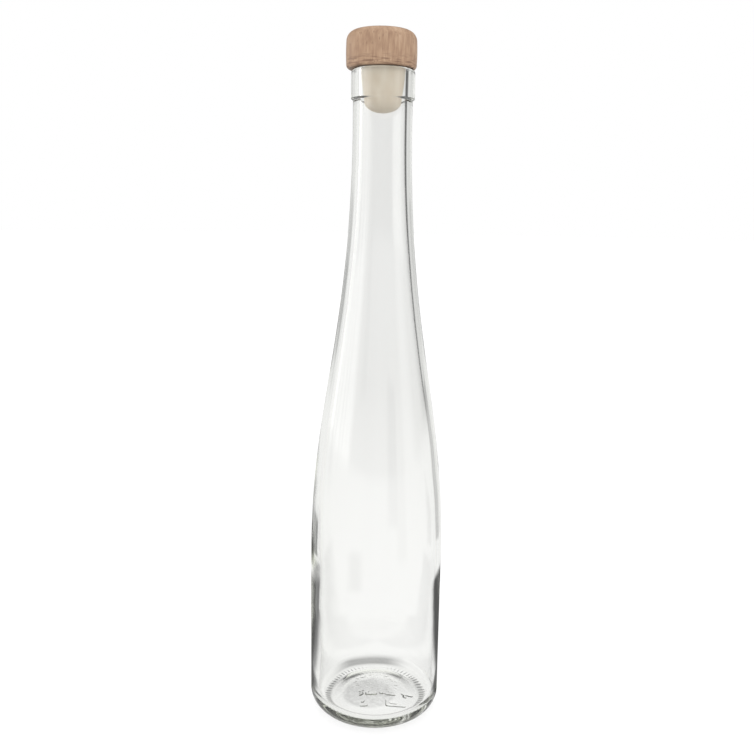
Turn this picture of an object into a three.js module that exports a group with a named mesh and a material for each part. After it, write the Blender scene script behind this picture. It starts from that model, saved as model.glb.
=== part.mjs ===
// An empty slim spirit bottle of clear glass, closed with a bar-top stopper:
// a turned wooden head over a plug with a rounded end, pushed into the bore.
// Millimetres, +Z up, the bottle stands on z = 0 with its axis on Z.

import * as THREE from 'three';

// Bottle
const glassHeight = 286.5;
const bodyR = 30;
const heelR = 7.2;
const bearingR = [21.2, bodyR - heelR];
const shoulderZ = 75;
const collarR = 13.2;
const collarZ = 274.7;
const neckR = 12.5;
const neckZ = 268;
const lipFillet = 1.6;

// Inside of the bottle
const wall = 3.1;
const floorZ = 5.6;
const boreR = 9.4;
const boreEnd = 268;
const innerHeel = 5.5;
const pushUp = { under: 3.8, inside: 8.6 };

// Stopper
const clearance = 0.3;
const headR = 14.6;
const headHeight = 15.4;
const headTopFillet = 4;
const headBottomFillet = 2.2;
const plugR = boreR - clearance;
const plugTipR = 7.8;
const plugLength = 17.1;
const plugRound = 4.6;

const segments = 64;

// Outlines are lists of (radius, height) points that run anticlockwise,
// from the axis outward, up and back to the axis.

function arc(r, z, radiusR, radiusZ, fromDeg, toDeg, steps) {
  const from = THREE.MathUtils.degToRad(fromDeg);
  const to = THREE.MathUtils.degToRad(toDeg);
  return new THREE.EllipseCurve(r, z, radiusR, radiusZ, from, to, to < from).getPoints(steps);
}

function flow(start, startHandle, endHandle, end, steps) {
  const points = [start, startHandle, endHandle, end].map(([r, z]) => new THREE.Vector2(r, z));
  return new THREE.CubicBezierCurve(...points).getPoints(steps);
}

function turned(outline) {
  const points = outline.flat().filter((p, i, all) => i === 0 || p.distanceTo(all[i - 1]) > 1e-4);
  const positions = [];
  const rings = points.map((p) => {
    const first = positions.length / 3;
    const count = p.x < 1e-6 ? 1 : segments;
    for (let i = 0; i < count; i++) {
      const angle = (2 * Math.PI * i) / segments;
      positions.push(p.x * Math.cos(angle), p.x * Math.sin(angle), p.y);
    }
    return (i) => first + (i % count);
  });
  const faces = [];
  for (let k = 0; k + 1 < rings.length; k++) {
    const low = rings[k];
    const high = rings[k + 1];
    for (let i = 0; i < segments; i++) {
      if (low(0) !== low(1)) faces.push(low(i), low(i + 1), high(i + 1));
      if (high(0) !== high(1)) faces.push(low(i), high(i + 1), high(i));
    }
  }
  const geometry = new THREE.BufferGeometry();
  geometry.setAttribute('position', new THREE.Float32BufferAttribute(positions, 3));
  geometry.setIndex(faces);
  geometry.computeVertexNormals();
  return geometry;
}

const at = (r, z) => [new THREE.Vector2(r, z)];

// The base has a shallow push-up inside a flat bearing ring, a round heel
// and a straight body, which runs into the neck in one long slope.
function bottleOutside() {
  const [ringIn, ringOut] = bearingR;
  return [
    flow([0, pushUp.under], [10, pushUp.under], [16, 0.9], [ringIn, 0], 6),
    arc(ringOut, heelR, heelR, heelR, -90, 0, 7),
    flow([bodyR, shoulderZ], [bodyR, 145.9], [12.15, 175.1], [neckR, neckZ], 21),
    flow([neckR, neckZ], [neckR, 272], [neckR, collarZ - 0.6], [collarR, collarZ], 3),
    arc(collarR - lipFillet, glassHeight - lipFillet, lipFillet, lipFillet, 0, 90, 4),
  ];
}

// The bore is straight where the plug sits, then opens out to follow the
// outside at an even wall. The base rises in the middle over the push-up.
function bottleInside() {
  const innerR = bodyR - wall;
  const lip = 0.8;
  return [
    arc(boreR + lip, glassHeight - lip, lip, lip, 90, 180, 2),
    flow([boreR, boreEnd], [boreR, 179], [innerR, 142], [innerR, shoulderZ], 20),
    arc(innerR - innerHeel, floorZ + innerHeel, innerHeel, innerHeel, 0, -90, 5),
    flow([innerR - innerHeel, floorZ], [14, floorZ + 0.3], [9, pushUp.inside], [0, pushUp.inside], 5),
  ];
}

function bottleGlass() {
  return turned([...bottleOutside(), ...bottleInside()]);
}

// The head is a short turned drum, more rounded at the top than below.
function stopperHead() {
  const base = glassHeight + clearance;
  const top = base + headHeight;
  const low = headBottomFillet;
  const high = headTopFillet;
  return turned([
    at(0, base),
    arc(headR - low, base + low, low, low, -90, 0, 4),
    arc(headR - high, top - high, high, high, 0, 90, 6),
    at(0, top),
  ]);
}

// The plug tapers slightly and ends in a low dome.
function stopperPlug() {
  const tip = glassHeight - plugLength;
  return turned([
    arc(0, tip + plugRound, plugTipR, plugRound, -90, 0, 8),
    at(plugR, glassHeight - 6),
    at(plugR, glassHeight),
    at(0, glassHeight),
  ]);
}

function piece(name, geometry, material) {
  const mesh = new THREE.Mesh(geometry, new THREE.MeshStandardMaterial(material));
  mesh.name = name;
  return mesh;
}

const bottle = new THREE.Group();
bottle.name = 'spirit_bottle';
bottle.add(
  piece('bottle', bottleGlass(), {
    color: 0xe8ebe6, roughness: 0.05, metalness: 0, transparent: true, opacity: 0.35,
  }),
  piece('stopper_head', stopperHead(), { color: 0xac8c73, roughness: 0.6, metalness: 0 }),
  piece('stopper_plug', stopperPlug(), { color: 0xcfc2ae, roughness: 0.55, metalness: 0 }),
);

export default bottle;
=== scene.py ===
import math
import bpy
from mathutils import Matrix


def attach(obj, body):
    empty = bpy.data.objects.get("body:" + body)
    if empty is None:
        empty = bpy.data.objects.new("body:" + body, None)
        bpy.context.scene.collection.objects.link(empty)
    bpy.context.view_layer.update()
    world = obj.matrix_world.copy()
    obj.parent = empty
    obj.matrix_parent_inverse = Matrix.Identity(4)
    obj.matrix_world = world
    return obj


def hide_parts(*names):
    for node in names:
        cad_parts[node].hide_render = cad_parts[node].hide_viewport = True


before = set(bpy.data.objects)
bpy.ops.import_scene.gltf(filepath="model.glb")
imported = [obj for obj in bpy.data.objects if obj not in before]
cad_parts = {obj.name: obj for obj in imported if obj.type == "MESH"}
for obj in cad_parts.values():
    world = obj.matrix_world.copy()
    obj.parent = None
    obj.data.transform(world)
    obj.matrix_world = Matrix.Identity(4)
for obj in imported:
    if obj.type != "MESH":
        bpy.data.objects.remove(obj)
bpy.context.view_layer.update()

mm = 0.001


# Small helpers

# Screen colour #rrggbb to the linear colour that shaders use
def linear(hexCode):
    channels = [int(hexCode[i:i + 2], 16) / 255 for i in (1, 3, 5)]
    levels = [v / 12.92 if v <= 0.04045 else ((v + 0.055) / 1.055) ** 2.4 for v in channels]
    return (*levels, 1.0)


# Gives a function that adds a node to one tree, sets its fields and fills or
# links its inputs. A node given as an input stands for its first output.
def nodeAdder(tree):
    def add(kind, inputs=(), **settings):
        node = tree.nodes.new(kind)
        for field, value in settings.items():
            setattr(node, field, value)
        for socket, value in inputs.items() if isinstance(inputs, dict) else enumerate(inputs):
            if isinstance(value, bpy.types.Node):
                value = value.outputs[0]
            if isinstance(value, bpy.types.NodeSocket):
                tree.links.new(value, node.inputs[socket])
            else:
                node.inputs[socket].default_value = value
        return node
    return add


# Setting of a Map Range that steps smoothly. Its inputs are the value, two
# limits and, where they aren't 0 and 1, the results at the limits.
smooth = {"interpolation_type": "SMOOTHSTEP"}


# Multiplies numbers and sockets, one after another
def product(add, result, *factors):
    for factor in factors:
        result = add("ShaderNodeMath", (result, factor), operation="MULTIPLY")
    return result


# Adds parts, each times its share, to a first value
def weighted(add, result, *parts):
    for part, share in parts:
        result = add("ShaderNodeMath", (part, share, result), operation="MULTIPLY_ADD")
    return result


# Lays levels over a tone, each where its mask is 1
def layered(add, tone, *layers):
    for mask, level in layers:
        tone = add("ShaderNodeMix", {0: mask, 2: tone, 3: level})
    return tone


# Mask that rises from 0 to 1 and falls again between four limits
def between(add, value, start, full, fade, end):
    rise = add("ShaderNodeMapRange", (value, start, full), **smooth)
    fall = add("ShaderNodeMapRange", (value, fade, end, 1.0, 0.0), **smooth)
    return product(add, rise, fall)


def newTree(name, inputs):
    tree = bpy.data.node_groups.new(name, "GeometryNodeTree")
    tree.interface.new_socket("Geometry", in_out="INPUT", socket_type="NodeSocketGeometry")
    for label, kind in inputs.items():
        tree.interface.new_socket(label, in_out="INPUT", socket_type="NodeSocket" + kind)
    tree.interface.new_socket("Geometry", in_out="OUTPUT", socket_type="NodeSocketGeometry")
    add = nodeAdder(tree)
    source = add("NodeGroupInput").outputs
    return tree, add, source


def finishTree(add, geometry, material):
    real = add("GeometryNodeRealizeInstances", (geometry,))
    done = add("GeometryNodeSetMaterial", {0: real, "Material": material})
    add("NodeGroupOutput", (done,))


def applyTree(piece, tree, values):
    modifier = piece.modifiers.new(tree.name, "NODES")
    modifier.node_group = tree
    for item in tree.interface.items_tree:
        if item.in_out == "INPUT" and item.name in values:
            modifier[item.identifier] = values[item.name]
    depsgraph = bpy.context.evaluated_depsgraph_get()
    made = bpy.data.meshes.new_from_object(piece.evaluated_get(depsgraph))
    piece.modifiers.clear()
    old = piece.data
    piece.data = made
    bpy.data.meshes.remove(old)
    made.name = piece.name
    return piece


def newObject(name, data):
    thing = bpy.data.objects.new(name, data)
    bpy.context.scene.collection.objects.link(thing)
    return thing


# Empties the nodes of a material or a world and gives its node adder
def clearNodes(owner):
    owner.use_nodes = True
    owner.node_tree.nodes.clear()
    return nodeAdder(owner.node_tree)


# Object coordinates in mm, times a number for each axis
def mmCoords(add, perMm=(1, 1, 1)):
    place = add("ShaderNodeTexCoord").outputs["Object"]
    return add("ShaderNodeMapping", {0: place, "Scale": [s / mm for s in perMm]})


def setStops(node, stops):
    elements = node.color_ramp.elements
    for place, colour in stops[1:-1]:
        elements.new(place)
    for element, (place, colour) in zip(elements, stops):
        element.position = place
        element.color = linear(colour)


# Camera at the photograph's height and angle. Places are in mm, angles in
# degrees, and the focal length and the photograph's width in pixels.

cameraPlace = {
    "across": -0.744, "back": -363.2, "height": 229.6, "down": 11.319, "roll": 0.852,
    "focal": 832.9, "photoWidth": 754, "sensor": 36,
}

lens = bpy.data.cameras.new("camera")
lens.sensor_width = cameraPlace["sensor"]
lens.lens = cameraPlace["focal"] / cameraPlace["photoWidth"] * cameraPlace["sensor"]
lens.clip_start = 10 * mm
camera = newObject("camera", lens)
stand = [cameraPlace[k] * mm for k in ("across", "back", "height")]
camera.matrix_world = (Matrix.Translation(stand)
                       @ Matrix.Rotation(math.radians(90 - cameraPlace["down"]), 4, "X")
                       @ Matrix.Rotation(math.radians(cameraPlace["roll"]), 4, "Z"))
bpy.context.scene.camera = camera


# Outlines are (radius, height) in mm, from the axis out, up and back

def arc(r, z, radius, start, end, steps, radiusZ=None):
    turns = [math.radians(start + (end - start) * i / steps) for i in range(steps + 1)]
    return [(r + radius * math.cos(t), z + (radiusZ or radius) * math.sin(t)) for t in turns]


def flow(a, b, c, d, steps):
    points = []
    for i in range(steps + 1):
        t = i / steps
        weights = ((1 - t) ** 3, 3 * t * (1 - t) ** 2, 3 * t * t * (1 - t), t ** 3)
        points.append(tuple(sum(w * p[k] for w, p in zip(weights, (a, b, c, d))) for k in (0, 1)))
    return points


# One loose edge line per outline, with each point's flags beside it
def outlineMesh(name, stretches):
    points, inside, under = [], [], []
    for part, isInside, isUnder in stretches:
        for r, z in part:
            if points and math.dist((r, z), points[-1]) < 1e-3:
                continue
            points.append((r, z))
            inside.append(float(isInside))
            under.append(float(isUnder))
    mesh = bpy.data.meshes.new(name)
    mesh.from_pydata([(r * mm, 0, z * mm) for r, z in points],
                     [(i, i + 1) for i in range(len(points) - 1)], [])
    for label, numbers in (("inside", inside), ("under", under)):
        mesh.attributes.new(label, "FLOAT", "POINT").data.foreach_set("value", numbers)
    return mesh


# Turns an outline about Z. The grid has a row for each outline point and a
# column for each segment, with one more that is merged with the first. Every
# vertex keeps the flags of its outline point.
def turningTree():
    tree, add, source = newTree("turnedForm", {"Segments": "Int", "Material": "Material"})
    sizes = add("GeometryNodeAttributeDomainSize", (source["Geometry"],))
    count = sizes.outputs["Point Count"]
    around = add("ShaderNodeMath", (source["Segments"], 1.0), operation="ADD")
    grid = add("GeometryNodeMeshGrid", {"Vertices X": around, "Vertices Y": count})
    index = add("GeometryNodeInputIndex")
    middle = add("ShaderNodeMath", (index, 0.5), operation="ADD")
    part = add("ShaderNodeMath", (middle, count), operation="DIVIDE")
    column = add("ShaderNodeMath", (part,), operation="FLOOR")
    row = add("ShaderNodeMath", (index, product(add, column, count)), operation="SUBTRACT")

    def fromOutline(field, kind):
        inputs = {"Geometry": source["Geometry"], "Value": field, "Index": row}
        return add("GeometryNodeSampleIndex", inputs, data_type=kind)

    place = fromOutline(add("GeometryNodeInputPosition"), "FLOAT_VECTOR")
    split = add("ShaderNodeSeparateXYZ", (place,)).outputs
    share = add("ShaderNodeMath", (column, source["Segments"]), operation="DIVIDE")
    angle = product(add, share, 2 * math.pi)
    flat = [product(add, split["X"], add("ShaderNodeMath", (angle,), operation=wave))
            for wave in ("COSINE", "SINE")]
    turned = add("ShaderNodeCombineXYZ", (*flat, split["Z"]))
    shape = add("GeometryNodeSetPosition", {"Geometry": grid, "Position": turned})
    for label in ("inside", "under"):
        field = add("GeometryNodeInputNamedAttribute", {"Name": label}, data_type="FLOAT")
        inputs = {"Geometry": shape, "Name": label, "Value": fromOutline(field, "FLOAT")}
        shape = add("GeometryNodeStoreNamedAttribute", inputs, data_type="FLOAT", domain="POINT")
    shape = add("GeometryNodeMergeByDistance", {"Geometry": shape, "Distance": 1e-6})
    shape = add("GeometryNodeSetShadeSmooth", {"Geometry": shape})
    finishTree(add, shape, source["Material"])
    return tree


turning = turningTree()


def turnedPiece(name, stretches, segments, material):
    piece = newObject(name, outlineMesh(name, stretches))
    return applyTree(piece, turning, {"Segments": segments, "Material": material})


# Glass: clear flint, blown in a mould. Its faint drag lines bend the
# reflections, and thick parts turn a little olive.

glassLook = {
    "ior": 1.52, "absorb": "#d0d6b6", "density": 15.0,
    "linesPerMm": (0.12, 0.12, 0.006), "lineDetail": 2.0, "lineDepth": 0.009,
}


def blownGlass():
    look = glassLook
    material = bpy.data.materials.new("blown flint glass")
    add = clearNodes(material)
    lines = add("ShaderNodeTexNoise", {
        "Vector": mmCoords(add, look["linesPerMm"]), "Scale": 1.0, "Detail": look["lineDetail"]})
    bump = add("ShaderNodeBump", {"Strength": 1.0, "Distance": look["lineDepth"] * mm, "Height": lines})
    surface = add("ShaderNodeBsdfPrincipled", {
        "Base Color": (1, 1, 1, 1), "Roughness": 0.0, "IOR": look["ior"],
        "Transmission Weight": 1.0, "Normal": bump})
    tint = add("ShaderNodeVolumeAbsorption", {
        "Color": linear(look["absorb"]), "Density": look["density"]})
    add("ShaderNodeOutputMaterial", {"Surface": surface, "Volume": tint})
    return material


# Bottle: sizes in mm. Each pull is a curve's handle, and the wall is a little
# thinner round mid slope.

bottleShape = {
    "height": 286.5, "bodyR": 30, "heelR": 7.2, "ringIn": 21.2, "shoulder": 75,
    "bodyPull": 145.9, "neckPull": (12.15, 175.1), "neckR": 12.5, "neckZ": 268,
    "collarR": 13.3, "collarZ": 274.7, "collarStep": (-0.7, 0.5), "collarPull": (0.05, -0.2),
    "lip": 1.2,
    "under": 3.8, "underFlat": 10, "underPull": (16, 0.9),
    "wall": 3.08, "thinner": 0.35, "thinZ": 207, "thinReach": 28, "boreLip": 0.8, "plugSeat": (4, 10),
    "floor": 4.8, "innerHeel": 5.0, "wallEnd": 12, "rise": 8.0, "riseFlat": 9, "risePull": (14, 0.3),
    "segments": 288,
}


def bottleOutline():
    s = bottleShape
    top, wall, lip, boreLip = s["height"], s["wall"], s["lip"], s["boreLip"]
    ringOut = s["bodyR"] - s["heelR"]

    # Outside: the push-up, the bearing ring, the heel, the slope and the collar
    underside = flow((0, s["under"]), (s["underFlat"], s["under"]),
                     s["underPull"], (s["ringIn"], 0), steps=44)
    underside += [(s["ringIn"] + (ringOut - s["ringIn"]) * i / 6, 0) for i in range(7)]
    heel = arc(ringOut, s["heelR"], s["heelR"], -90, 0, steps=26)
    slope = flow((s["bodyR"], s["shoulder"]), (s["bodyR"], s["bodyPull"]),
                 s["neckPull"], (s["neckR"], s["neckZ"]), steps=60)
    stepLow, stepHigh = [s["collarZ"] + z for z in s["collarStep"]]
    pullLow, pullHigh = [s["collarZ"] + z for z in s["collarPull"]]
    step = flow((s["neckR"], stepLow), (s["neckR"], pullLow),
                (s["collarR"], pullHigh), (s["collarR"], stepHigh), steps=18)
    outside = slope + step + arc(s["collarR"] - lip, top - lip, lip, 0, 90, steps=10)

    # Inside: the mouth, the straight seat of the plug, the wall and the floor
    boreR = s["neckR"] - wall
    innerR = s["bodyR"] - wall
    cornerR = innerR - s["innerHeel"]
    inside = arc(boreR + boreLip, top - boreLip, boreLip, 90, 180, steps=8)
    inside += [(boreR, top - depth) for depth in s["plugSeat"]]
    for r, z in reversed(slope):
        thinner = s["thinner"] * math.exp(-((z - s["thinZ"]) / s["thinReach"]) ** 2)
        inside.append((r - wall + thinner, z))
    inside += [(innerR, z) for z in range(s["shoulder"] - 2, s["wallEnd"], -2)]
    inside += arc(cornerR, s["floor"] + s["innerHeel"], s["innerHeel"], 0, -90, steps=16)
    easeR, easeUp = s["risePull"]
    inside += flow((cornerR, s["floor"]), (easeR, s["floor"] + easeUp),
                   (s["riseFlat"], s["rise"]), (0, s["rise"]), steps=22)
    return [(underside, 0, 1), (heel, 0, 1), (outside, 0, 0), (inside, 1, 0)]


# Plain dots and bars on the underside, in two rows: (x, y, length) in mm
markBars = {
    "level": ((-3.2, -4.2, 3.7), (3.0, -3.5, 0.1), (5.4, -4.0, 3.2), (13.2, -2.6, 1.4),
              (15.6, -2.6, 1.4), (-5.6, -11.6, 2.0), (-5.2, -9.2, 0.1), (5.8, -11.2, 7.8),
              (7.4, -9.6, 2.4)),
    "upright": ((-6.0, -4.6, 3.0), (-3.2, -4.2, 1.2), (7.0, -4.0, 1.6), (13.9, -4.4, 1.8),
                (5.8, -11.2, 3.0), (12.2, -11.2, 1.0)),
}


# The bars as loose edges
def mouldMarks():
    bars = [((x, y), (x + length, y)) for x, y, length in markBars["level"]]
    bars += [((x, y), (x, y + length)) for x, y, length in markBars["upright"]]
    points = [(x * mm, y * mm, 0) for bar in bars for x, y in bar]
    mesh = bpy.data.meshes.new("mouldMarks")
    mesh.from_pydata(points, [(i, i + 1) for i in range(0, len(points), 2)], [])
    return newObject("mouldMarks", mesh)


# What the mould and the blowing leave on the glass: sizes in mm. Each calmer
# stretch is two heights and the share of the wander at them.
mouldDetail = {
    "ribs": 72, "ribDepth": 0.4, "ribsFrom": 21.6, "ribsTo": 24.6, "ribFade": (0.6, 0.8),
    "markHeight": 0.45, "markEdge": (0.35, 0.85),
    "pitDepth": 0.05, "pitsPerMm": 0.7, "pitLevels": (0.42, 0.6), "pitsEnd": (11.5, 13),
    "wander": 0.5, "wandersPerMm": 0.052, "wanderStretch": (0.5, 0.5, 1.0), "seed": 3.0,
    "calmer": ((70, 150, 1.0, 0.3), (8, 22, 0.25, 1.0), (225, 262, 1.0, 0.0)),
    "offCentre": 0.5, "offCentreEnd": (70, 120),
    "bulge": 0.3, "bulgeZ": 36, "bulgeReach": 19, "bulgeSide": (-1.0, -0.4),
}


# Knurls the bearing ring, raises the marks and lets the inner wall wander
def mouldingTree():
    d = mouldDetail
    tree, add, source = newTree("mouldedGlass", {
        "Marks": "Object", "Mark Height": "Float", "Ribs": "Int", "Rib Depth": "Float",
        "Ring In": "Float", "Ring Out": "Float", "Pit Depth": "Float",
        "Wander": "Float", "Off Centre": "Float",
        "Bulge": "Float", "Bulge Height": "Float", "Seed": "Float", "Material": "Material"})
    place = add("GeometryNodeInputPosition")
    split = add("ShaderNodeSeparateXYZ", (place,)).outputs
    flat = add("ShaderNodeCombineXYZ", (split["X"], split["Y"]))
    radius = add("ShaderNodeVectorMath", (flat,), operation="LENGTH").outputs["Value"]
    outward = add("ShaderNodeVectorMath", (flat,), operation="NORMALIZE")
    angle = add("ShaderNodeMath", (split["Y"], split["X"]), operation="ARCTAN2")
    isUnder = add("GeometryNodeInputNamedAttribute", {"Name": "under"}, data_type="FLOAT")
    isInside = add("GeometryNodeInputNamedAttribute", {"Name": "inside"}, data_type="FLOAT")

    # Ribs: their tops stay on the outline and the valleys go up into the glass
    cosine = add("ShaderNodeMath", (product(add, angle, source["Ribs"]),), operation="COSINE")
    wave = weighted(add, 0.5, (cosine, -0.5))
    fadeIn, fadeOut = [width * mm for width in d["ribFade"]]
    start = add("ShaderNodeMath", (source["Ring In"], fadeIn), operation="SUBTRACT")
    end = add("ShaderNodeMath", (source["Ring Out"], fadeOut), operation="ADD")
    band = between(add, radius, start, source["Ring In"], source["Ring Out"], end)
    ribs = product(add, wave, band, source["Rib Depth"])

    # Marks: proud of the pushed-up underside
    marks = add("GeometryNodeObjectInfo", {"Object": source["Marks"]}).outputs["Geometry"]
    inputs = {"Geometry": marks, "Sample Position": flat}
    nearest = add("GeometryNodeProximity", inputs, target_element="EDGES")
    full, end = [width * mm for width in d["markEdge"]]
    onMark = add("ShaderNodeMapRange", (nearest.outputs["Distance"], full, end, 1.0, 0.0), **smooth)
    raised = product(add, onMark, source["Mark Height"])

    # Stipple: small pits over the middle of the underside
    grains = add("ShaderNodeTexNoise", {"Vector": flat, "Scale": d["pitsPerMm"] / mm, "Detail": 1.0})
    full, end = [r * mm for r in d["pitsEnd"]]
    pits = product(add, add("ShaderNodeMapRange", (grains, *d["pitLevels"]), **smooth),
                   add("ShaderNodeMapRange", (radius, full, end, 1.0, 0.0), **smooth))
    raised = weighted(add, raised, (pits, source["Pit Depth"]))
    lift = product(add, add("ShaderNodeMath", (ribs, raised), operation="SUBTRACT"), isUnder)
    upward = add("ShaderNodeCombineXYZ", {"Z": lift})

    # Inner wall: a slow random wander, a shift to one side, and one thick place
    wide = add("ShaderNodeVectorMath", (place, d["wanderStretch"]), operation="MULTIPLY")
    noise = add("ShaderNodeTexNoise", {
        "Vector": wide, "W": source["Seed"], "Scale": d["wandersPerMm"] / mm, "Detail": 1.0},
        noise_dimensions="4D")
    centred = add("ShaderNodeMath", (noise, 0.5), operation="SUBTRACT")
    calmer = [add("ShaderNodeMapRange", (split["Z"], low * mm, high * mm, atLow, atHigh), **smooth)
              for low, high, atLow, atHigh in d["calmer"]]
    wander = product(add, centred, source["Wander"], *calmer)
    across = add("ShaderNodeMath", (angle,), operation="COSINE")
    full, end = [z * mm for z in d["offCentreEnd"]]
    shift = add("ShaderNodeMapRange", (split["Z"], full, end, source["Off Centre"], 0.0), **smooth)
    above = add("ShaderNodeMath", (split["Z"], source["Bulge Height"]), operation="SUBTRACT")
    level = add("ShaderNodeMath", (above, d["bulgeReach"] * mm), operation="DIVIDE")
    hump = add("ShaderNodeMath", (product(add, level, level, -1.0),), operation="EXPONENT")
    side = add("ShaderNodeMapRange", (across, *d["bulgeSide"], 1.0, 0.0), **smooth)
    hump = product(add, hump, side, source["Bulge"])
    moved = weighted(add, wander, (across, shift))
    inner = product(add, add("ShaderNodeMath", (moved, hump), operation="SUBTRACT"), isInside)
    sideways = add("ShaderNodeVectorMath", {0: outward, "Scale": inner}, operation="SCALE")

    offset = add("ShaderNodeVectorMath", (upward, sideways), operation="ADD")
    shape = add("GeometryNodeSetPosition", {"Geometry": source["Geometry"], "Offset": offset})
    finishTree(add, shape, source["Material"])
    return tree


glassMaterial = blownGlass()
bottle = turnedPiece("glassBottle", bottleOutline(), bottleShape["segments"], glassMaterial)
marksSource = mouldMarks()
applyTree(bottle, mouldingTree(), {
    "Marks": marksSource, "Mark Height": mouldDetail["markHeight"] * mm,
    "Ribs": mouldDetail["ribs"], "Rib Depth": mouldDetail["ribDepth"] * mm,
    "Ring In": mouldDetail["ribsFrom"] * mm, "Ring Out": mouldDetail["ribsTo"] * mm,
    "Pit Depth": mouldDetail["pitDepth"] * mm,
    "Wander": mouldDetail["wander"] * mm, "Off Centre": mouldDetail["offCentre"] * mm,
    "Bulge": mouldDetail["bulge"] * mm, "Bulge Height": mouldDetail["bulgeZ"] * mm,
    "Seed": mouldDetail["seed"], "Material": glassMaterial})
bpy.data.objects.remove(marksSource)
print("bottle", len(bottle.data.polygons), "faces")


# Wooden head of the stopper, a little off centre: sizes in mm

headShape = {
    "radius": 14.6, "base": 286.7, "top": 301.7, "crown": 0.5, "topRound": 4.2, "baseRound": 1.6,
    "bulge": 0.12, "aside": -0.8, "segments": 144,
}

# Beech, turned and left bare: matt and warm brown, with upright grain, short
# dark flecks, painted shade in streaks along the lower edge, and painted
# shade on the underside where it meets the glass
woodLook = {
    "stops": ((0.3, "#91715a"), (0.52, "#a7886d"), (0.75, "#ba9d83")),
    # The darkest brown is painted shade for the underside
    "fleck": "#745743", "underShade": "#5a4636",
    "ringsPerMm": (0.36, 0.2), "driftPerMm": (0.1, 0.1, 0.04), "drift": 3.0,
    "fibresPerMm": 2.6, "fibreStretch": (1.0, 1.0, 0.07), "cloudsPerMm": (0.3, 0.3, 0.16),
    "ringShare": 0.2, "fibreShare": 0.65, "cloudShare": 0.5, "darker": -0.13,
    "flecksPerMm": (1.25, 1.25, 0.3), "fleckEdge": (0.1, 0.26), "fleckChoice": (0.4, 0.6),
    "fleckDepth": 0.75,
    # The streaks are painted shade along the lower edge, laid on in the fleck colour
    "streaksPerMm": (0.22, 0.22, 1.3), "streakLevels": (0.44, 0.62), "lowShadeEnd": (1.5, 5.5),
    "lowShadeDepth": 0.75, "underShadeEnd": (0.02, 0.25), "underShadeDepth": 0.6,
    "roughness": 0.42, "fibreRoughness": 0.25, "relief": 0.06, "reliefStrength": 0.6,
}


def turnedBeech():
    look = woodLook
    material = bpy.data.materials.new("turned beech")
    add = clearNodes(material)
    split = add("ShaderNodeSeparateXYZ", (mmCoords(add),)).outputs

    # Growth rings cross the head as nearly flat sheets
    drift = add("ShaderNodeTexNoise", {"Vector": mmCoords(add, look["driftPerMm"]), "Scale": 1.0})
    perX, perY = look["ringsPerMm"]
    sheet = weighted(add, 0.0, (split["Y"], perY), (split["X"], perX), (drift, look["drift"]))
    rings = add("ShaderNodeMath", (sheet, 0.5), operation="PINGPONG")
    fibre = add("ShaderNodeTexNoise", {
        "Vector": mmCoords(add, look["fibreStretch"]), "Scale": look["fibresPerMm"],
        "Detail": 4.0, "Roughness": 0.6})
    cloud = add("ShaderNodeTexNoise", {
        "Vector": mmCoords(add, look["cloudsPerMm"]), "Scale": 1.0, "Detail": 2.0})
    tone = weighted(add, look["darker"], (cloud, look["cloudShare"]),
                    (fibre, look["fibreShare"]), (rings, look["ringShare"]))
    colour = add("ShaderNodeValToRGB", (tone,))
    setStops(colour, look["stops"])

    # Flecks: the short dark dashes of beech, in some of the cells
    cells = add("ShaderNodeTexVoronoi", {"Vector": mmCoords(add, look["flecksPerMm"]), "Scale": 1.0})
    fleck = add("ShaderNodeMapRange", (cells, *look["fleckEdge"], 1.0, 0.0), **smooth)
    chance = add("ShaderNodeSeparateColor", (cells.outputs["Color"],))
    fleck = product(add, fleck, add("ShaderNodeMapRange", (chance, *look["fleckChoice"]), **smooth))

    # Painted shade: darker streaks that run round the lower edge
    streaks = add("ShaderNodeTexNoise", {
        "Vector": mmCoords(add, look["streaksPerMm"]), "Scale": 1.0, "Detail": 3.0})
    full, end = [headShape["base"] + z for z in look["lowShadeEnd"]]
    low = add("ShaderNodeMapRange", (split["Z"], full, end, 1.0, 0.0), **smooth)
    lowShade = product(add, add("ShaderNodeMapRange", (streaks, *look["streakLevels"]), **smooth), low)
    # Flecks and the painted shade of the lower edge, both in the fleck colour
    flecksAndLowShade = (product(add, fleck, look["fleckDepth"]), product(add, lowShade, look["lowShadeDepth"]))
    dark = add("ShaderNodeMath", flecksAndLowShade, operation="MAXIMUM")

    # The underside, pressed on the glass, is darkened with painted shade
    full, end = [headShape["base"] + z for z in look["underShadeEnd"]]
    under = add("ShaderNodeMapRange", (split["Z"], full, end, look["underShadeDepth"], 0.0), **smooth)
    # Lays on the flecks with the painted shade of the lower edge, then the painted shade of the
    # underside
    for mask, shade in ((dark, look["fleck"]), (under, look["underShade"])):
        inputs = {0: mask, 6: colour, 7: linear(shade)}
        colour = add("ShaderNodeMix", inputs, data_type="RGBA").outputs[2]

    height = add("ShaderNodeMath", (fibre, fleck), operation="SUBTRACT")
    bump = add("ShaderNodeBump", {
        "Strength": look["reliefStrength"], "Distance": look["relief"] * mm, "Height": height})
    roughness = weighted(add, look["roughness"], (fibre, look["fibreRoughness"]))
    surface = add("ShaderNodeBsdfPrincipled", {
        "Base Color": colour, "Roughness": roughness, "Normal": bump})
    add("ShaderNodeOutputMaterial", {"Surface": surface})
    return material


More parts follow.
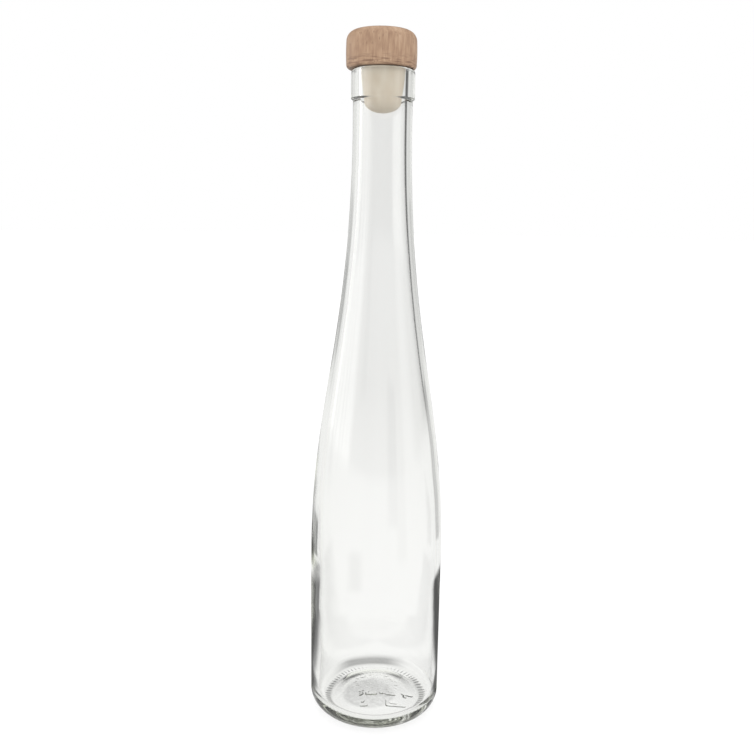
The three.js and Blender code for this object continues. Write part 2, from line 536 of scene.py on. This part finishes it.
# A drum with a faint belly, a low crown and both edges rounded
def headOutline():
    s = headShape
    low, high = s["baseRound"], s["topRound"]
    sideLow, sideHigh = s["base"] + low, s["top"] - high
    crownR = s["radius"] - high
    base = [(s["radius"] * i / 10, s["base"]) for i in range(8)]
    base += arc(s["radius"] - low, sideLow, low, -90, 0, steps=14)
    side = []
    for part in [i / 8 for i in range(1, 8)]:
        belly = s["bulge"] * math.sin(math.pi * part)
        side.append((s["radius"] + belly, sideLow + (sideHigh - sideLow) * part))
    top = arc(crownR, sideHigh, high, 0, 90, steps=18)
    for inward in [1 - i / 8 for i in range(1, 9)]:
        top.append((crownR * inward, s["top"] + s["crown"] * (1 - inward ** 2)))
    return [(base + side + top, 0, 0)]


# Plug of the stopper: sizes in mm. It tapers a little and ends in a dome.

plugShape = {
    "radius": 9.33, "tipR": 7.8, "tip": 269.3, "round": 4.6, "proud": 0.1,
    "tipPull": (0.2, 1.6), "topPull": (-0.4, -5), "aside": -0.02, "segments": 144,
}

# Synthetic cork, moulded: cream and half matt, with soft clouds and fine pores
plugLook = {
    "stops": ((0.3, "#efe0cb"), (0.75, "#fbf0df")), "pore": "#c3ae92",
    "cloudsPerMm": (0.25, 0.25, 0.12), "poresPerMm": (2.2, 2.2, 2.2), "poreEdge": (0.06, 0.2),
    "poreDepth": 0.35, "roughness": 0.55, "relief": 0.05, "reliefStrength": 0.5,
}


def syntheticCork():
    look = plugLook
    material = bpy.data.materials.new("moulded synthetic cork")
    add = clearNodes(material)
    cloud = add("ShaderNodeTexNoise", {
        "Vector": mmCoords(add, look["cloudsPerMm"]), "Scale": 1.0, "Detail": 3.0})
    colour = add("ShaderNodeValToRGB", (cloud,))
    setStops(colour, look["stops"])
    cells = add("ShaderNodeTexVoronoi", {"Vector": mmCoords(add, look["poresPerMm"]), "Scale": 1.0})
    pores = add("ShaderNodeMapRange", (cells, *look["poreEdge"], 1.0, 0.0), **smooth)
    inputs = {0: product(add, pores, look["poreDepth"]), 6: colour, 7: linear(look["pore"])}
    colour = add("ShaderNodeMix", inputs, data_type="RGBA").outputs[2]
    height = add("ShaderNodeMath", (cloud, pores), operation="SUBTRACT")
    bump = add("ShaderNodeBump", {
        "Strength": look["reliefStrength"], "Distance": look["relief"] * mm, "Height": height})
    surface = add("ShaderNodeBsdfPrincipled", {
        "Base Color": colour, "Roughness": look["roughness"], "Normal": bump})
    add("ShaderNodeOutputMaterial", {"Surface": surface})
    return material


def plugOutline():
    s = plugShape
    start = s["tip"] + s["round"]
    top = bottleShape["height"] + s["proud"]
    tipOut, tipUp = s["tipPull"]
    topOut, topUp = s["topPull"]
    dome = arc(0, start, s["tipR"], -90, 0, steps=20, radiusZ=s["round"])
    side = flow((s["tipR"], start), (s["tipR"] + tipOut, start + tipUp),
                (s["radius"] + topOut, top + topUp), (s["radius"], top), steps=14)
    lid = [(s["radius"] * (1 - i / 6), top) for i in range(1, 7)]
    return [(dome + side + lid, 0, 0)]


head = turnedPiece("stopperHead", headOutline(), headShape["segments"], turnedBeech())
plug = turnedPiece("stopperPlug", plugOutline(), plugShape["segments"], syntheticCork())
for piece, shape in ((head, headShape), (plug, plugShape)):
    piece.data.transform(Matrix.Translation((shape["aside"] * mm, 0, 0)))
print("stopper", len(head.data.polygons), "and", len(plug.data.polygons), "faces")


# Each piece goes on the root body, and the CAD part it replaces is hidden

for piece, node, slot in (
        (bottle, "bottle", "glass"),
        (head, "stopper_head", "wood"),
        (plug, "stopper_plug", "plug")):
    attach(piece, "root")
    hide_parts(node)


# Floor: pale and plain, but for painted shadows of the bottle round its base.
# What the glass mirrors of it is darker near the bottle, as clear glass needs
# dark round it to show its edges in a studio. Reaches are in metres from the
# axis, and a turn is x over the distance. Four limits are where a patch starts,
# is full, fades and ends.

stageLook = {
    "floorR": 8.0, "rimPoints": 96, "drop": 0.00005, "colour": "#fbfbfa",
    "shadow": 0.2, "lighting": 1.05,

    # Seen straight or through the glass, with painted shadows round the bottle
    "plain": (0.985, 0.9), "plainReach": (0.1, 0.8),
    "spotAt": (-0.003, 0.001, 0), "spotEdge": (0.0105, 0.0135), "spotTone": 0.46,
    "mottlePerMm": 0.45, "mottle": 0.6,
    "ring": (0.02, 0.0215, 0.0235, 0.025), "ringEnd": (0.008, 0.016), "ringDark": 0.6,
    "arc": (0.0255, 0.03, 0.034, 0.04), "arcX": -0.004, "arcWide": (0.008, 0.024),
    "arcStart": (0.0, 0.01), "arcDark": 0.42,
    "front": (0.028, 0.036, 0.056, 0.066), "frontEnd": (-0.02, 0.0), "frontDark": 0.42,

    # Mirrored, near the bottle: pale behind it and dark at both sides
    "behind": 0.93, "sideDark": (0.15, 0.1), "sideReach": (0.045, 0.08), "sideTurn": (0.15, 0.45),
    "backStart": (-0.1, 0.3), "backReach": (0.04, 0.054), "backEdge": (0.0, 0.25),
    "leftEnd": (-1.0, -0.86), "leftEndReach": (0.085, 0.12), "leftEdge": (-0.03, 0.03),
    "nearEnd": (0.15, 0.163), "nearSwap": (-0.01, 0.01), "nearEdge": (-0.01, 0.01),

    # Mirrored, farther off: a middle tone, one card at each side, the studio
    "middle": 0.91, "middleEnd": (0.8, 1.7),
    "leftCard": 0.15, "leftReach": (0.162, 0.172, 0.235, 0.27), "leftTurn": (-0.76, -0.7, -0.5, -0.35),
    "rightCard": 0.6, "rightReach": (0.225, 0.25, 1.3, 1.7), "rightTurn": (0.54, 0.62, 0.74, 0.82),
}


# Tells what the camera sees straight, rays that were mirrored on their way,
# and rays that light a surface. A world's ray depth is one higher.
def rayKinds(add, extra=0):
    path = add("ShaderNodeLightPath").outputs
    turns = add("ShaderNodeMath", (path["Ray Depth"], path["Transmission Depth"]), operation="SUBTRACT")
    mirrored = add("ShaderNodeMath", (turns, extra + 0.5), operation="GREATER_THAN")
    lighting = add("ShaderNodeMath", (path["Diffuse Depth"], 0.5), operation="GREATER_THAN")
    return path["Is Camera Ray"], mirrored, lighting


# Soft light all round: a window on the left, a dark card on the right.
# Azimuth in degrees from straight behind the bottle, right positive.

studio = (
    (-180, 0.35), (-150, 0.25), (-126, 0.4), (-122, 1.6), (-104, 1.75), (-101, 0.75), (-97, 1.75),
    (-84, 1.65), (-81, 0.8), (-77, 1.85), (-62, 1.75), (-58, 0.85), (-37, 0.85), (-31, 0.4),
    (-14, 0.3), (-6, 0.8), (6, 0.8), (12, 0.6), (26, 0.6), (32, 0.8), (44, 0.8), (51, 0.15),
    (64, 0.06), (69, 0.35), (100, 0.4), (106, 0.85), (124, 0.85), (130, 0.35),
)


# Brightness of the studio in the direction (x, y)
def studioCards(add, x, y):
    angle = add("ShaderNodeMath", (x, y), operation="ARCTAN2")
    turn = add("ShaderNodeMath", (angle, 2 * math.pi), operation="DIVIDE")
    cards = add("ShaderNodeFloatCurve", {"Value": add("ShaderNodeMath", (turn, 0.5), operation="ADD")})
    cards.mapping.clip_max_y = 4.0
    curve = cards.mapping.curves[0]
    (_, frontLevel), *others = studio
    curve.points[0].location = (0, frontLevel)
    curve.points[-1].location = (1, frontLevel)
    for azimuth, level in others:
        curve.points.new((azimuth + 180) / 360, level)
    for point in curve.points:
        point.handle_type = "VECTOR"
    cards.mapping.update()
    return cards


def paleFloor():
    look = stageLook
    material = bpy.data.materials.new("pale floor")
    add = clearNodes(material)
    direct, mirrored, lighting = rayKinds(add)
    place = add("ShaderNodeTexCoord").outputs["Object"]
    away = add("ShaderNodeVectorMath", (place,), operation="LENGTH").outputs["Value"]
    split = add("ShaderNodeSeparateXYZ", (place,)).outputs
    turn = add("ShaderNodeMath", (split["X"], away), operation="DIVIDE")

    # Seen: painted shadows of the bottle on the floor, a mottled spot under the
    # base, a ring under the bearing ring, an arc behind the bottle and a patch before it
    plain = add("ShaderNodeMapRange", (away, *look["plainReach"], *look["plain"]), **smooth)
    aside = add("ShaderNodeVectorMath", (place, look["spotAt"]), operation="DISTANCE").outputs["Value"]
    spot = add("ShaderNodeMapRange", (aside, *look["spotEdge"], 1.0, 0.0), **smooth)
    mottle = add("ShaderNodeTexNoise", {
        "Vector": place, "Scale": look["mottlePerMm"] / mm, "Detail": 3.0})
    mottledShadow = weighted(add, look["spotTone"], (mottle, look["mottle"]))
    ringHere = add("ShaderNodeMapRange", (split["Y"], *look["ringEnd"], 1.0, 0.0), **smooth)
    ring = product(add, between(add, away, *look["ring"]), ringHere)
    offArc = add("ShaderNodeMath", (split["X"], look["arcX"]), operation="SUBTRACT")
    offArc = add("ShaderNodeMath", (offArc,), operation="ABSOLUTE")
    arcHere = product(add, add("ShaderNodeMapRange", (offArc, *look["arcWide"], 1.0, 0.0), **smooth),
                      add("ShaderNodeMapRange", (split["Y"], *look["arcStart"]), **smooth))
    shadowArc = product(add, between(add, away, *look["arc"]), arcHere)
    frontHere = add("ShaderNodeMapRange", (split["Y"], *look["frontEnd"], 1.0, 0.0), **smooth)
    front = product(add, between(add, away, *look["front"]), frontHere)
    seen = layered(add, plain, (spot, mottledShadow), (ring, look["ringDark"]),
                   (shadowArc, look["arcDark"]), (front, look["frontDark"]))

    # Mirrored near by: dark at both sides, from beside the bottle backwards,
    # but farther off not due left
    outward = add("ShaderNodeMath", (turn,), operation="ABSOLUTE")
    side = add("ShaderNodeMapRange", (outward, *look["sideTurn"]), **smooth)
    back = add("ShaderNodeMath", (split["Y"], away), operation="DIVIDE")
    backStart = add("ShaderNodeMapRange", (away, *look["backReach"], *look["backStart"]), **smooth)
    pastStart = add("ShaderNodeMath", (back, backStart), operation="SUBTRACT")
    leftEnd = add("ShaderNodeMapRange", (away, *look["leftEndReach"], *look["leftEnd"]), **smooth)
    pastLeft = add("ShaderNodeMath", (turn, leftEnd), operation="SUBTRACT")
    side = product(add, side, add("ShaderNodeMapRange", (pastStart, *look["backEdge"]), **smooth),
                   add("ShaderNodeMapRange", (pastLeft, *look["leftEdge"]), **smooth))
    dark = add("ShaderNodeMapRange", (away, *look["sideReach"], *look["sideDark"]), **smooth)
    near = layered(add, look["behind"], (side, dark))

    # Mirrored farther off: the right card dims what is there
    middleEnd = add("ShaderNodeMapRange", (away, *look["middleEnd"]), **smooth)
    leftCard, rightCard = [
        product(add, between(add, away, *look[side + "Reach"]), between(add, turn, *look[side + "Turn"]))
        for side in ("left", "right")]
    far = layered(add, look["middle"], (middleEnd, studioCards(add, split["X"], split["Y"])),
                  (leftCard, look["leftCard"]))
    far = layered(add, far, (rightCard, product(add, far, look["rightCard"])))

    # Which of them a mirrored ray meets, and the floor's own soft shadow
    leftNear, rightNear = look["nearEnd"]
    swap = add("ShaderNodeMapRange", (split["X"], *look["nearSwap"]), **smooth)
    nearEnd = layered(add, leftNear, (swap, rightNear))
    beyond = add("ShaderNodeMath", (away, nearEnd), operation="SUBTRACT")
    edge = add("ShaderNodeMapRange", (beyond, *look["nearEdge"]), **smooth)
    met = layered(add, near, (edge, far))
    strength = layered(add, seen, (mirrored, met), (lighting, look["lighting"]))
    glow = add("ShaderNodeEmission", {"Strength": strength})
    paint = add("ShaderNodeBsdfDiffuse", {"Color": linear(look["colour"])})
    white = add("ShaderNodeEmission", {"Strength": 1.0})
    bright = add("ShaderNodeMixShader", (look["shadow"], white, paint))
    surface = add("ShaderNodeMixShader", (direct, glow, bright))
    add("ShaderNodeOutputMaterial", {"Surface": surface})
    material.cycles.emission_sampling = "NONE"
    return material


floorMesh = bpy.data.meshes.new("floor")
rimTurns = [2 * math.pi * i / stageLook["rimPoints"] for i in range(stageLook["rimPoints"])]
rim = [(stageLook["floorR"] * math.cos(t), stageLook["floorR"] * math.sin(t), 0) for t in rimTurns]
floorMesh.from_pydata(rim, [], [list(range(len(rim)))])
floorMesh.materials.append(paleFloor())
floor = newObject("floor", floorMesh)
floor.location.z = -stageLook["drop"]


# Sky: mirrored rays see the studio's cards low down and a pale top, and the
# others a plain wall, each with a dark band round it. Straight ahead of the
# camera a soft light lifts the cards.

skyLook = {
    "behind": 0.9, "above": 1.0, "band": (0.26, 0.36, 0.75, 0.85), "bandDark": 0.1,
    "ahead": (0.5, 0.8), "aheadTurn": (0.7, 0.82), "aheadUp": (0.02, 0.06),
    "lighting": 1.55, "lightingRight": 0.08,
}


def softStudio():
    look = skyLook
    world = bpy.data.worlds.new("soft studio")
    bpy.context.scene.world = world
    add = clearNodes(world)
    direct, mirrored, lighting = rayKinds(add, extra=1)
    direction = add("ShaderNodeTexCoord").outputs["Generated"]
    split = add("ShaderNodeSeparateXYZ", (direction,)).outputs
    aheadHere = add("ShaderNodeMapRange", (split["Y"], *look["aheadTurn"]), **smooth)
    aheadTone = add("ShaderNodeMapRange", (split["Z"], *look["aheadUp"], *look["ahead"]), **smooth)
    lifted = (studioCards(add, split["X"], split["Y"]), product(add, aheadHere, aheadTone))
    cards = add("ShaderNodeMath", lifted, operation="MAXIMUM")
    start, full, fade, end = look["band"]
    high = add("ShaderNodeMapRange", (split["Z"], start, full), **smooth)
    room = layered(add, cards, (high, look["above"]))
    band = between(add, split["Z"], start, full, fade, end)
    lit = weighted(add, look["lighting"], (split["X"], look["lightingRight"]))
    strength = layered(add, look["behind"], (mirrored, room), (band, look["bandDark"]))
    strength = layered(add, strength, (lighting, lit), (direct, 1.0))
    glow = add("ShaderNodeBackground", {"Color": (1, 1, 1, 1), "Strength": strength})
    add("ShaderNodeOutputWorld", {"Surface": glow})
    world.cycles.sampling_method = "NONE"


softStudio()

scene = bpy.context.scene
scene.view_settings.view_transform = "Standard"
scene.cycles.max_bounces = 32
scene.cycles.glossy_bounces = 20
scene.cycles.transmission_bounces = 24
scene.cycles.diffuse_bounces = 4
print("studio done")
